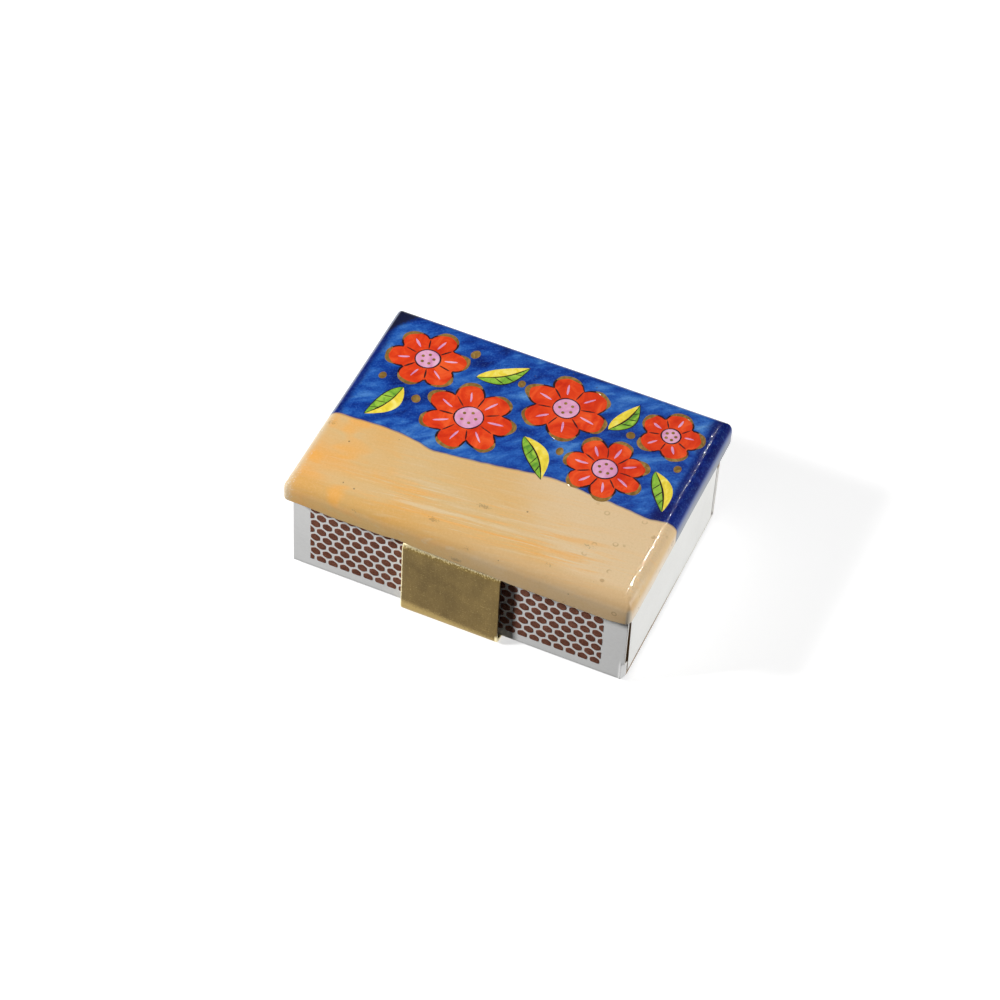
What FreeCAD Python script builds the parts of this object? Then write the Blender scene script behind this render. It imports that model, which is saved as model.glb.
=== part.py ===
import FreeCAD, Part
import Sketcher
import math
import os

# Matchbox holder: a lacquered board held to a standard matchbox by a bent brass band.
# Millimetres. The origin is under the middle of the board, on the band's underside.
# +X runs along the box, -Y is the front, +Z is up.

# Driving dimensions
SIZES = [
    ("box_length", 53.0, "standard matchbox, along the slide"),
    ("box_width", 36.0, "standard matchbox, over its two striking sides"),
    ("box_height", 14.0, "standard matchbox, over the sleeve"),
    ("card_thick", 0.4, "card of the sleeve and the tray"),
    ("fold_round", 0.6, "outside radius of the sleeve's folds"),
    ("least_fold", 0.1, "least inside radius of a fold in the card"),
    ("lap_inset", 0.5, "the glue lap stops this short of the sleeve's inner corners"),
    ("board_thick", 4.6, "board"),
    ("end_overhang", 0.85, "board past each end of the box"),
    ("side_overhang", 2.0, "board past each side of the box"),
    ("edge_round", 1.9, "round on the board's top edges"),
    ("lip_round", 0.45, "round on the board's lower edges"),
    ("corner_round", 0.9, "board's corners seen from above"),
    ("band_width", 15.5, "brass strip"),
    ("band_thick", 0.6, "brass strip"),
    ("band_bend", 0.9, "inside radius of the strip's bends"),
    ("band_shift", 0.63, "the band sits this far left of the board's middle"),
    ("band_seam", 0.8, "gap between the strip's two ends, under the board"),
    ("band_side_gap", 0.9, "between the band and each side of the box"),
    ("head_room", 0.15, "above the box in the band"),
    ("slide_gap", 0.05, "under the box in the band"),
    ("pin_shank", 1.2, "pin diameter"),
    ("pin_head", 2.4, "countersunk head diameter"),
    ("pin_length", 3.4, "pin, head to point"),
    ("pin_point", 0.8, "tapered point of the pin"),
    ("pin_pitch_along", 9.0, "between pins along the box"),
    ("pin_pitch_across", 18.0, "between pins across the box"),
    ("pin_play", 0.02, "round each pin"),
    ("striker_coat", 0.1, "striking coat"),
    ("striker_left", 2.8, "plain card left of the coat"),
    ("striker_right", 3.7, "plain card right of the coat"),
    ("striker_low", 2.0, "plain card below the coat"),
    ("striker_high", 1.0, "plain card above the coat"),
    ("tray_end_gap", 0.05, "tray short of each end of the sleeve"),
    ("tray_front_gap", 1.0, "tray to the sleeve's front wall"),
    ("tray_back_gap", 0.15, "tray to the glue lap on the back wall"),
    ("tray_base_gap", 0.05, "under the tray"),
    ("tray_top_gap", 0.25, "above the tray"),
    ("tray_fold", 0.5, "outside radius of the tray's folds"),
    ("tab_length", 10.0, "glue tabs inside the tray's end walls"),
    ("tab_drop", 0.8, "tabs below the tray's rim"),
    ("stick_side", 1.9, "square match stick"),
    ("head_width", 2.8, "dipped head"),
    ("head_length", 4.2, "dipped head"),
    ("head_root", 2.0, "head diameter where the dip starts"),
    ("match_gap", 0.1, "between neighbouring matches"),
    ("match_end_gap", 1.3, "from the matches to the tray's tabs"),
]
MATCH_LAYERS = 3
HEAD_SIDES = 8

# Sections of a match head, from the stick to the tip: place and radius
HEAD_SECTIONS = [
    ("root_x", "head_root_radius"),
    ("bulge_x", "head_radius"),
    ("shoulder_x", "shoulder_radius"),
    ("nose_x", "nose_radius"),
]

# Sizes and places that follow from the driving dimensions
DERIVED = [
    ("board_length", "Sizes.box_length + 2 * Sizes.end_overhang"),
    ("board_width", "Sizes.box_width + 2 * Sizes.side_overhang"),
    ("board_half_length", "board_length / 2"),
    ("board_half_width", "board_width / 2"),
    ("channel_width", "Sizes.box_width + 2 * Sizes.band_side_gap"),
    ("channel_height", "Sizes.slide_gap + Sizes.box_height + Sizes.head_room"),
    ("band_outer_width", "channel_width + 2 * Sizes.band_thick"),
    ("band_outer_height", "channel_height + 2 * Sizes.band_thick"),
    ("band_outer_bend", "Sizes.band_bend + Sizes.band_thick"),
    ("band_middle_z", "band_outer_height / 2"),
    ("band_x", "-Sizes.band_shift"),
    ("top_leg_z", "Sizes.band_thick + channel_height"),
    ("board_z", "band_outer_height"),
    ("pin_x", "band_x - Sizes.pin_pitch_along / 2"),
    ("pin_y", "-Sizes.pin_pitch_across / 2"),
    ("pin_radius", "Sizes.pin_shank / 2"),
    ("pin_head_radius", "Sizes.pin_head / 2"),
    ("pin_seat_radius", "pin_radius + Sizes.pin_play"),
    ("pin_seat_mouth", "pin_head_radius + Sizes.pin_play"),
    ("pin_hole_depth", "Sizes.pin_length - Sizes.band_thick + Sizes.pin_play"),
    ("sleeve_z", "Sizes.band_thick + Sizes.slide_gap"),
    ("sleeve_middle_z", "sleeve_z + Sizes.box_height / 2"),
    ("sleeve_inner_width", "Sizes.box_width - 2 * Sizes.card_thick"),
    ("sleeve_inner_height", "Sizes.box_height - 2 * Sizes.card_thick"),
    ("sleeve_inner_fold", "max(Sizes.fold_round - Sizes.card_thick; Sizes.least_fold)"),
    ("lap_thick", "1.5 * Sizes.card_thick"),
    ("lap_height", "sleeve_inner_height - 2 * Sizes.lap_inset"),
    ("lap_y", "Sizes.box_width / 2 - Sizes.card_thick / 2 - lap_thick / 2"),
    ("striker_length", "Sizes.box_length - Sizes.striker_left - Sizes.striker_right"),
    ("striker_height", "Sizes.box_height - Sizes.striker_low - Sizes.striker_high"),
    ("striker_x", "-Sizes.box_length / 2 + Sizes.striker_left"),
    ("striker_z", "sleeve_z + Sizes.striker_low"),
    ("striker_front_y", "-Sizes.box_width / 2 - Sizes.striker_coat"),
    ("striker_back_y", "Sizes.box_width / 2"),
    ("tray_length", "Sizes.box_length - 2 * Sizes.tray_end_gap"),
    ("tray_width", "sleeve_inner_width - Sizes.card_thick - Sizes.tray_front_gap - Sizes.tray_back_gap"),
    ("tray_height", "sleeve_inner_height - Sizes.tray_base_gap - Sizes.tray_top_gap"),
    ("tray_y", "-sleeve_inner_width / 2 + Sizes.tray_front_gap + tray_width / 2"),
    ("tray_z", "sleeve_z + Sizes.card_thick + Sizes.tray_base_gap"),
    ("tray_inner_length", "tray_length - 2 * Sizes.card_thick"),
    ("tray_inner_width", "tray_width - 2 * Sizes.card_thick"),
    ("tray_inner_fold", "max(Sizes.tray_fold - Sizes.card_thick; Sizes.least_fold)"),
    ("tab_thick", "1.5 * Sizes.card_thick"),
    ("tab_run", "Sizes.tab_length + Sizes.card_thick / 2"),
    ("tab_height", "tray_height - Sizes.tab_drop - Sizes.card_thick / 2"),
    ("tab_low_z", "Sizes.card_thick / 2"),
    ("tab_x", "tray_length / 2 - Sizes.card_thick / 2 - tab_thick / 2"),
    ("tab_y", "tray_width / 2 - Sizes.card_thick / 2 - tab_run / 2"),
    ("tab_left_x", "-tab_x"),
    ("tab_front_y", "-tab_y"),
    ("match_pitch", "(Sizes.head_width + Sizes.stick_side) / 2 + Sizes.match_gap"),
    ("head_stagger", "Sizes.head_length + Sizes.match_gap"),
    ("stick_low", "-Sizes.stick_side / 2"),
    ("head_radius", "Sizes.head_width / 2"),
    ("head_root_radius", "Sizes.head_root / 2"),
    ("match_room", "tray_inner_length - 2 * Sizes.card_thick - 2 * Sizes.match_end_gap"),
    ("match_length", "match_room - head_stagger"),
    ("root_x", "match_length - Sizes.head_length"),
    ("bulge_x", "match_length - head_radius"),
    ("shoulder_x", "bulge_x + 0.6 * head_radius"),
    ("shoulder_radius", "0.8 * head_radius"),
    ("nose_x", "match_length"),
    ("nose_radius", "0.3 * head_radius"),
    ("match_low_z", "tray_z + Sizes.card_thick + Sizes.match_gap / 2 + head_radius"),
]

doc = FreeCAD.newDocument("matchbox_holder")
nodes = []


def fill_sheet(name, rows):
    sheet = doc.addObject("Spreadsheet::Sheet", name)
    for number, row in enumerate(rows, start=1):
        alias = row[0]
        sheet.set(f"A{number}", alias)
        sheet.set(f"B{number}", str(row[1]) if name == "Sizes" else "=" + row[1])
        sheet.setAlias(f"B{number}", alias)
        sheet.set(f"C{number}", row[2] if len(row) > 2 else "")
    doc.recompute()
    return sheet


sizes = fill_sheet("Sizes", SIZES)
derived = fill_sheet("Derived", DERIVED)
DRIVING = {row[0] for row in SIZES}


# Values and bindings
def ref(alias):
    return ("Sizes." if alias in DRIVING else "Derived.") + alias


def value(alias):
    return float((sizes if alias in DRIVING else derived).get(alias))


def bind(item, prop, alias):
    item.setExpression(prop, ref(alias))


def place(item, x=None, y=None, z=None):
    for axis, alias in zip("xyz", (x, y, z)):
        if alias:
            bind(item, f"Placement.Base.{axis}", alias)


# Bodies, sketches and features
def new_body(label):
    body = doc.addObject("PartDesign::Body", label)
    body.Label = label
    nodes.append(body)
    return body


def origin_item(body, role):
    return next(item for item in body.Origin.OriginFeatures if item.Role == role)


def new_sketch(body, name, plane, lift=None, along="z"):
    """A sketch on one of the body's own planes, moved by a named size in its own axes."""
    sketch = body.newObject("Sketcher::SketchObject", f"{body.Name}_{name}")
    sketch.AttachmentSupport = (origin_item(body, plane), "")
    sketch.MapMode = "FlatFace"
    if lift:
        bind(sketch, f"AttachmentOffset.Base.{along}", lift)
    return sketch


def dimension(sketch, kind, *args, alias):
    """A named dimensional constraint driven by a sheet cell."""
    index = sketch.addConstraint(Sketcher.Constraint(kind, *args, value(alias)))
    name = f"{alias}_{index}"
    sketch.renameConstraint(index, name)
    sketch.setExpression(f"Constraints.{name}", ref(alias))


def relate(sketch, kind, *args):
    sketch.addConstraint(Sketcher.Constraint(kind, *args))


def vector(u, v):
    return FreeCAD.Vector(u, v, 0)


def add_line(sketch, start, end):
    return sketch.addGeometry(Part.LineSegment(vector(*start), vector(*end)))


def add_arc(sketch, centre, radius, start_deg, end_deg):
    circle = Part.Circle(vector(*centre), FreeCAD.Vector(0, 0, 1), radius)
    return sketch.addGeometry(Part.ArcOfCircle(circle, math.radians(start_deg), math.radians(end_deg)))


ORIGIN = (-1, 1)
H_AXIS = ORIGIN[0]
START, END, CENTRE = range(1, 4)


def add_rounded_rectangle(sketch, width, height, radius):
    """A rectangle about the sketch's origin with four equal rounds."""
    half_w = value(width) / 2
    half_h = value(height) / 2
    r = value(radius)
    low = add_line(sketch, (r - half_w, -half_h), (half_w - r, -half_h))
    arc_1 = add_arc(sketch, (half_w - r, r - half_h), r, 270, 360)
    right = add_line(sketch, (half_w, r - half_h), (half_w, half_h - r))
    arc_2 = add_arc(sketch, (half_w - r, half_h - r), r, 0, 90)
    high = add_line(sketch, (half_w - r, half_h), (r - half_w, half_h))
    arc_3 = add_arc(sketch, (r - half_w, half_h - r), r, 90, 180)
    left = add_line(sketch, (-half_w, half_h - r), (-half_w, r - half_h))
    arc_4 = add_arc(sketch, (r - half_w, r - half_h), r, 180, 270)
    loop = [low, arc_1, right, arc_2, high, arc_3, left, arc_4]
    for first, second in zip(loop, loop[1:] + loop[:1]):
        relate(sketch, "Tangent", first, END, second, START)
    for line in (low, high):
        relate(sketch, "Horizontal", line)
    for line in (left, right):
        relate(sketch, "Vertical", line)
    relate(sketch, "Equal", arc_1, arc_2)
    relate(sketch, "Equal", arc_1, arc_3)
    relate(sketch, "Symmetric", arc_1, CENTRE, arc_3, CENTRE, *ORIGIN)
    dimension(sketch, "Radius", arc_1, alias=radius)
    dimension(sketch, "DistanceX", left, START, right, START, alias=width)
    dimension(sketch, "DistanceY", low, START, high, START, alias=height)


def add_rectangle(sketch, width, height):
    """A square-cornered rectangle about the sketch's origin."""
    half_w = value(width) / 2
    half_h = value(height) / 2
    corners = [(-half_w, -half_h), (half_w, -half_h), (half_w, half_h), (-half_w, half_h)]
    lines = [add_line(sketch, a, b) for a, b in zip(corners, corners[1:] + corners[:1])]
    for first, second in zip(lines, lines[1:] + lines[:1]):
        relate(sketch, "Coincident", first, END, second, START)
    for line in lines[0::2]:
        relate(sketch, "Horizontal", line)
    for line in lines[1::2]:
        relate(sketch, "Vertical", line)
    relate(sketch, "Symmetric", lines[0], START, lines[2], START, *ORIGIN)
    dimension(sketch, "DistanceX", lines[0], START, lines[0], END, alias=width)
    dimension(sketch, "DistanceY", lines[1], START, lines[1], END, alias=height)


def add_edge_cutter(sketch, half, side, radius):
    """The waste outside a rounded edge, whose corner lies half away on the sketch's X axis."""
    r = value(radius)
    out = value(half)
    far = side * (out + r)
    near = side * (out - r)
    if side > 0:
        arc = add_arc(sketch, (near, -r), r, 0, 90)
        on_side, on_top = START, END
    else:
        arc = add_arc(sketch, (near, -r), r, 90, 180)
        on_side, on_top = END, START
    foot = add_line(sketch, (side * out, -r), (far, -r))
    wall = add_line(sketch, (far, -r), (far, r))
    roof = add_line(sketch, (far, r), (near, r))
    back = add_line(sketch, (near, r), (near, 0))
    relate(sketch, "Coincident", arc, on_side, foot, START)
    relate(sketch, "Coincident", foot, END, wall, START)
    relate(sketch, "Coincident", wall, END, roof, START)
    relate(sketch, "Coincident", roof, END, back, START)
    relate(sketch, "Coincident", back, END, arc, on_top)
    relate(sketch, "Horizontal", foot)
    relate(sketch, "Vertical", wall)
    relate(sketch, "Horizontal", roof)
    relate(sketch, "Vertical", back)
    relate(sketch, "Vertical", arc, CENTRE, arc, on_top)
    relate(sketch, "Horizontal", arc, CENTRE, arc, on_side)
    relate(sketch, "PointOnObject", arc, on_top, H_AXIS)
    dimension(sketch, "Radius", arc, alias=radius)
    span = (*ORIGIN, arc, on_side) if side > 0 else (arc, on_side, *ORIGIN)
    dimension(sketch, "DistanceX", *span, alias=half)
    run_out = (foot, START, foot, END) if side > 0 else (foot, END, foot, START)
    dimension(sketch, "DistanceX", *run_out, alias=radius)
    dimension(sketch, "DistanceY", back, END, back, START, alias=radius)


def finish_feature(body, feature):
    """Recompute and make sure that a cut really took something away or a pad added it."""
    before = feature.BaseFeature.Shape.Volume if feature.BaseFeature else 0.0
    doc.recompute()
    changed = feature.Shape.Volume - before
    cuts = feature.TypeId in ("PartDesign::Pocket", "PartDesign::SubtractiveCone")
    if changed == 0 or (changed > 0) == cuts:
        raise ValueError(f"{body.Label}: {feature.Name} changed the volume by {changed:.4f}")
    return feature


def pad(body, sketch, length, symmetric=False):
    feature = body.newObject("PartDesign::Pad", f"{sketch.Name}_pad")
    feature.Profile = sketch
    feature.SideType = "Symmetric" if symmetric else "One side"
    bind(feature, "Length", length)
    return finish_feature(body, feature)


def pocket(body, sketch, length=None, up=False, symmetric=False):
    feature = body.newObject("PartDesign::Pocket", f"{sketch.Name}_pocket")
    feature.Profile = sketch
    feature.SideType = "Symmetric" if symmetric else "One side"
    feature.Reversed = up
    if length:
        bind(feature, "Length", length)
    else:
        feature.Type = "ThroughAll"
    return finish_feature(body, feature)


def pattern_pins(body, feature):
    """Repeat a feature on the two by two grid of the pins."""
    grid = body.newObject("PartDesign::LinearPattern", f"{feature.Name}_grid")
    grid.Originals = [feature]
    grid.Direction = (origin_item(body, "X_Axis"), [""])
    grid.Direction2 = (origin_item(body, "Y_Axis"), [""])
    grid.Occurrences = 2
    grid.Occurrences2 = 2
    bind(grid, "Length", "pin_pitch_along")
    bind(grid, "Length2", "pin_pitch_across")
    body.Tip = grid
    doc.recompute()


def round_low_edges(body, radius):
    """Round the edges that lie in the body's own base plane."""
    base = body.Tip
    shape = base.Shape
    touching = 1e-6
    names = [
        f"Edge{number}"
        for number, edge in enumerate(shape.Edges, start=1)
        if abs(edge.BoundBox.ZMin) < touching and abs(edge.BoundBox.ZMax) < touching
    ]
    fillet = body.newObject("PartDesign::Fillet", f"{body.Name}_low_edges")
    fillet.Base = (base, names)
    bind(fillet, "Radius", radius)
    doc.recompute()


# The holder
def make_board():
    body = new_body("cover_board")
    place(body, z="board_z")
    outline = new_sketch(body, "outline", "XY_Plane")
    add_rounded_rectangle(outline, "board_length", "board_width", "corner_round")
    pad(body, outline, "board_thick")
    round_low_edges(body, "lip_round")
    for name, plane, half in (
        ("long_edges", "YZ_Plane", "board_half_width"),
        ("end_edges", "XZ_Plane", "board_half_length"),
    ):
        cutters = new_sketch(body, name, plane, lift="board_thick", along="y")
        for side in (-1, 1):
            add_edge_cutter(cutters, half, side, "edge_round")
        pocket(body, cutters, symmetric=True)
    hole = new_sketch(body, "pin_hole", "XY_Plane")
    add_circle(hole, "pin_x", "pin_y", "pin_seat_radius")
    pattern_pins(body, pocket(body, hole, "pin_hole_depth", up=True))


def add_circle(sketch, left, front, radius):
    """A circle in the quarter where both coordinates are negative."""
    centre = vector(value(left), value(front))
    circle = sketch.addGeometry(Part.Circle(centre, FreeCAD.Vector(0, 0, 1), value(radius)))
    dimension(sketch, "Radius", circle, alias=radius)
    dimension(sketch, "DistanceX", *ORIGIN, circle, CENTRE, alias=left)
    dimension(sketch, "DistanceY", *ORIGIN, circle, CENTRE, alias=front)


def make_band():
    body = new_body("brass_band")
    ring = new_sketch(body, "ring", "YZ_Plane", lift="band_middle_z", along="y")
    bind(ring, "AttachmentOffset.Base.z", "band_x")
    add_rounded_rectangle(ring, "band_outer_width", "band_outer_height", "band_outer_bend")
    add_rounded_rectangle(ring, "channel_width", "channel_height", "band_bend")
    pad(body, ring, "band_width", symmetric=True)
    seam = new_sketch(body, "seam", "XY_Plane", lift="band_middle_z")
    bind(seam, "AttachmentOffset.Base.x", "band_x")
    add_rectangle(seam, "band_width", "band_seam")
    pocket(body, seam, up=True)
    seat = body.newObject("PartDesign::SubtractiveCone", "pin_seat")
    seat.AttachmentSupport = (origin_item(body, "XY_Plane"), "")
    seat.MapMode = "FlatFace"
    for axis, alias in zip("xyz", ("pin_x", "pin_y", "top_leg_z")):
        bind(seat, f"AttachmentOffset.Base.{axis}", alias)
    bind(seat, "Radius1", "pin_seat_mouth")
    bind(seat, "Radius2", "pin_seat_radius")
    bind(seat, "Height", "band_thick")
    pattern_pins(body, finish_feature(body, seat))


def make_pins():
    """Four countersunk pins, turned from one half profile and repeated."""
    body = new_body("band_pins")
    body.AllowCompound = True
    place(body, "pin_x", "pin_y", "top_leg_z")
    half = new_sketch(body, "half", "XZ_Plane")
    head, shank = value("pin_head_radius"), value("pin_radius")
    neck, tip = value("band_thick"), value("pin_length")
    cone = tip - value("pin_point")
    corners = [(0, 0), (head, 0), (shank, neck), (shank, cone), (0, tip)]
    lines = [add_line(half, a, b) for a, b in zip(corners, corners[1:] + corners[:1])]
    for first, second in zip(lines, lines[1:] + lines[:1]):
        relate(half, "Coincident", first, END, second, START)
    relate(half, "Coincident", lines[0], START, *ORIGIN)
    relate(half, "Horizontal", lines[0])
    relate(half, "Vertical", lines[2])
    relate(half, "Vertical", lines[4])
    dimension(half, "DistanceX", lines[0], START, lines[0], END, alias="pin_head_radius")
    dimension(half, "DistanceX", *ORIGIN, lines[2], START, alias="pin_radius")
    dimension(half, "DistanceY", *ORIGIN, lines[1], END, alias="band_thick")
    dimension(half, "DistanceY", lines[3], START, lines[3], END, alias="pin_point")
    dimension(half, "DistanceY", *ORIGIN, lines[3], END, alias="pin_length")
    turned = body.newObject("PartDesign::Revolution", "pin_turned")
    turned.Profile = half
    turned.ReferenceAxis = (half, ["V_Axis"])
    pattern_pins(body, finish_feature(body, turned))


# The matchbox
def make_sleeve():
    body = new_body("sleeve")
    tube = new_sketch(body, "tube", "YZ_Plane", lift="sleeve_middle_z", along="y")
    add_rounded_rectangle(tube, "box_width", "box_height", "fold_round")
    add_rounded_rectangle(tube, "sleeve_inner_width", "sleeve_inner_height", "sleeve_inner_fold")
    pad(body, tube, "box_length", symmetric=True)
    lap = new_sketch(body, "lap", "YZ_Plane", lift="sleeve_middle_z", along="y")
    bind(lap, "AttachmentOffset.Base.x", "lap_y")
    add_rectangle(lap, "lap_thick", "lap_height")
    pad(body, lap, "box_length", symmetric=True)


def make_striker(label, y):
    coat = doc.addObject("Part::Box", label)
    coat.Label = label
    bind(coat, "Length", "striker_length")
    bind(coat, "Width", "striker_coat")
    bind(coat, "Height", "striker_height")
    place(coat, "striker_x", y, "striker_z")
    nodes.append(coat)


def make_tray():
    body = new_body("tray")
    place(body, y="tray_y", z="tray_z")
    outline = new_sketch(body, "outline", "XY_Plane")
    add_rounded_rectangle(outline, "tray_length", "tray_width", "tray_fold")
    pad(body, outline, "tray_height")
    round_low_edges(body, "tray_fold")
    well = new_sketch(body, "well", "XY_Plane", lift="card_thick")
    add_rounded_rectangle(well, "tray_inner_length", "tray_inner_width", "tray_inner_fold")
    pocket(body, well, up=True)
    for end in ("left", "right"):
        for side in ("front", "back"):
            tab = new_sketch(body, f"tab_{end}_{side}", "XY_Plane", lift="tab_low_z")
            bind(tab, "AttachmentOffset.Base.x", "tab_x" if end == "right" else "tab_left_x")
            bind(tab, "AttachmentOffset.Base.y", "tab_y" if side == "back" else "tab_front_y")
            add_rectangle(tab, "tab_thick", "tab_run")
            pad(body, tab, "tab_height")


def add_section(label, x, radius):
    """An eight-sided section of a match head, square to the stick."""
    section = doc.addObject("Part::RegularPolygon", label)
    section.Polygon = HEAD_SIDES
    section.Placement = FreeCAD.Placement(vector(0, 0), FreeCAD.Rotation(FreeCAD.Vector(0, 1, 0), 90))
    bind(section, "Placement.Base.x", x)
    bind(section, "Circumradius", radius)
    return section


def make_match(number, column, layer, columns):
    """A square stick along X with a dipped head at its +X end."""
    label = f"match_{number:02d}"
    stick = doc.addObject("Part::Box", f"{label}_stick")
    bind(stick, "Length", "bulge_x")
    bind(stick, "Width", "stick_side")
    bind(stick, "Height", "stick_side")
    place(stick, y="stick_low", z="stick_low")
    head = doc.addObject("Part::Loft", f"{label}_head")
    head.Sections = [add_section(f"{label}_{x}", x, radius) for x, radius in HEAD_SECTIONS]
    head.Solid = True
    head.Ruled = True
    head.Linearize = True
    match = doc.addObject("Part::Fuse", label)
    match.Label = label
    match.Base = stick
    match.Tool = head
    drawn_on = (column + layer + 1) % 2
    across = column - (columns - 1) / 2
    match.setExpression("Placement.Base.x", f"{drawn_on} * Derived.head_stagger - Derived.match_room / 2")
    match.setExpression("Placement.Base.y", f"Derived.tray_y + ({across}) * Derived.match_pitch")
    match.setExpression("Placement.Base.z", f"Derived.match_low_z + {layer} * Derived.match_pitch")
    nodes.append(match)


def make_matches():
    free = value("tray_inner_width") - value("head_width") - 2 * value("match_gap")
    columns = int(free / value("match_pitch")) + 1
    number = 0
    for layer in range(MATCH_LAYERS):
        for column in range(columns):
            number += 1
            make_match(number, column, layer, columns)


make_board()
make_band()
make_pins()
make_sleeve()
make_striker("striker_front", "striker_front_y")
make_striker("striker_back", "striker_back_y")
make_tray()
make_matches()
doc.recompute()

# Every object has to be sound before anything is written
for item in doc.Objects:
    if {"Invalid", "Error"} & set(item.State):
        raise RuntimeError(f"{item.Label} failed: {item.State}")
for node in nodes:
    if node.Shape.isNull() or not node.Shape.isValid():
        raise RuntimeError(f"{node.Label} has no sound shape")

os.makedirs("parts", exist_ok=True)
for node in nodes:
    node.Shape.exportStep(os.path.join("parts", f"{node.Label}.step"))
print(f"{len(nodes)} sub-parts written")
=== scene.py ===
"""Looks of the matchbox holder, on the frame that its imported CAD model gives.

Shapes are gathered in millimetres and turned into metres when a mesh is made.
"""
import math
import random

import bmesh
import bpy
from mathutils import Matrix, Vector, noise


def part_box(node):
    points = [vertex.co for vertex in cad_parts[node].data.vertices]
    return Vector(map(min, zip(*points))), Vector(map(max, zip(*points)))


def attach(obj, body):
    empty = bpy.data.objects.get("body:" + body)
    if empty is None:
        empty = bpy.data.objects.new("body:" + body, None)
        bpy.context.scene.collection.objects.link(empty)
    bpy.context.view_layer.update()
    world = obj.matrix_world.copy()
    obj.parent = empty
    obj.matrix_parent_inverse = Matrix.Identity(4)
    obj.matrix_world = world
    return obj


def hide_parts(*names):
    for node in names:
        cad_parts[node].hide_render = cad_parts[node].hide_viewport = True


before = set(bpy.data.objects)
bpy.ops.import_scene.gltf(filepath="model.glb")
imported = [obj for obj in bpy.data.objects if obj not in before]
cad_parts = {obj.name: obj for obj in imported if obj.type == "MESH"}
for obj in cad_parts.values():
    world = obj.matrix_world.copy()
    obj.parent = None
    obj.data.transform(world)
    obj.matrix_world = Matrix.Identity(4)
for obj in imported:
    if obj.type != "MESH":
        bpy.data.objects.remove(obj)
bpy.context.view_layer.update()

MM = 0.001
noise.seed_set(5)


def node_box(node):
    """Lowest and highest corner of a CAD node, in millimetres."""
    low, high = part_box(node)
    return low / MM, high / MM


# Places taken from the CAD
BOARD_LOW, BOARD_HIGH = node_box("cover_board")
BAND_LOW, BAND_HIGH = node_box("brass_band")
PINS_LOW, PINS_HIGH = node_box("band_pins")
SLEEVE_LOW, SLEEVE_HIGH = node_box("sleeve")
FRONT_LOW, FRONT_HIGH = node_box("striker_front")
BACK_LOW, BACK_HIGH = node_box("striker_back")
TRAY_LOW, TRAY_HIGH = node_box("tray")
MATCH_NAMES = sorted(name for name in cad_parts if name.startswith("match_"))

# Cover board
EDGE_ROUND = 1.9
LIP_ROUND = 0.45
LIP_SHELF = 1.0
CORNER_ROUND = 0.9
CORNER_LEAST = 0.35
HAND_WORN = 0.07
PAINT_BUILD = 0.05
FILL_RISE = 0.016
LINE_RISE = 0.03
DOT_RISE = 0.04
PAINT_SINK = 0.012
PAINT_TAPER = 0.985
PAINT_CREASE = 5
TOP = BOARD_HIGH.z - PAINT_BUILD

# Rise of the board's hand-shaped lower lip along its front
LIP_LEFT = 0.42
LIP_MIDDLE = 0.2
LIP_AT_BAND = 0.35
LIP_RIGHT = -0.26
LIP_CORNER = 0.6
LIP_UNEVEN = 0.16

# Widths of the decoration's brush lines
PETAL_LINE = 0.4
PETAL_TIP = 0.85
PETAL_RIB = 0.5
NOTCH_LINE = 0.32
HEART_LINE = 0.3
SEED = 0.26
LEAF_RIB = 0.3
LEAF_EDGE = 0.24
LEAF_VEIN = 0.2

# Brass band
BAND_THICK = 0.6
BAND_BEND = 0.9
BEND_STEPS = 10
BAND_SEAM = 0.8
BAND_EDGE = 0.16
BAND_RAGGED = 0.05
BAND_DENT = 0.035
PIN_HEAD = 2.4
PIN_SHANK = 1.2
PIN_POINT = 0.8
PIN_DOME = 0.06

# Card pieces
CARD = 0.4
SLEEVE_FOLD = 0.6
TRAY_FOLD = 0.08
TAB_LENGTH = 10.0
TAB_DROP = 0.8
LAP_INSET = 0.5
LAP_END = 0.04
CUT_SOFT = 0.06
RIM_SOFT = 0.08
INNER_FOLD = 0.2
TRAY_LEAN = 0.5

# Crease at the sleeve's lower front right corner, and the flap pushed in beyond it
CREASE_X = 26.0
CREASE_OUT = 0.1
CREASE_STEPS = (-1.4, -0.4, -0.3, -0.2, -0.1, 0.0, 0.08, 0.15, 0.2, 0.3)
FLAP_IN = 0.85
FLAP_LENGTH = 0.4

# Striking coat
DOT_ACROSS = 1.906
DOT_UP = 1.522
DOT_HALF_X = 0.76
DOT_HALF_Z = 0.8
DOT_FIRST_X = 1.788
DOT_FIRST_Z = 0.508
DOT_THICK = 0.05
DOT_SINK = 0.02
DOT_TAPER = 0.95

# Matches
STICK = 1.9
STICK_EDGE = 0.16
STICK_SWAY = 0.06
STICK_STATIONS = (0.0, 0.004, 0.25, 0.5, 0.75, 1.0)
HEAD_LENGTH = 4.2
HEAD_LUMPS = 0.05
# Place along the head, and the share of its full radius there
HEAD_SECTIONS = (
    (0.0, 0.72),
    (0.06, 0.8),
    (0.25, 0.93),
    (0.5, 1.0),
    (0.72, 0.94),
    (0.88, 0.72),
    (0.97, 0.38),
    (1.0, 0.1),
)


def srgb(red, green, blue):
    """Display colour, 0 to 255, as linear light with full opacity."""
    def linear(part):
        part = part / 255
        if part <= 0.04045:
            return part / 12.92
        return ((part + 0.055) / 1.055) ** 2.4
    return (linear(red), linear(green), linear(blue), 1.0)


def ease(low, high, value):
    """Smooth step from 0 at low to 1 at high."""
    t = min(max((value - low) / (high - low), 0.0), 1.0)
    return t * t * (3 - 2 * t)


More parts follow.
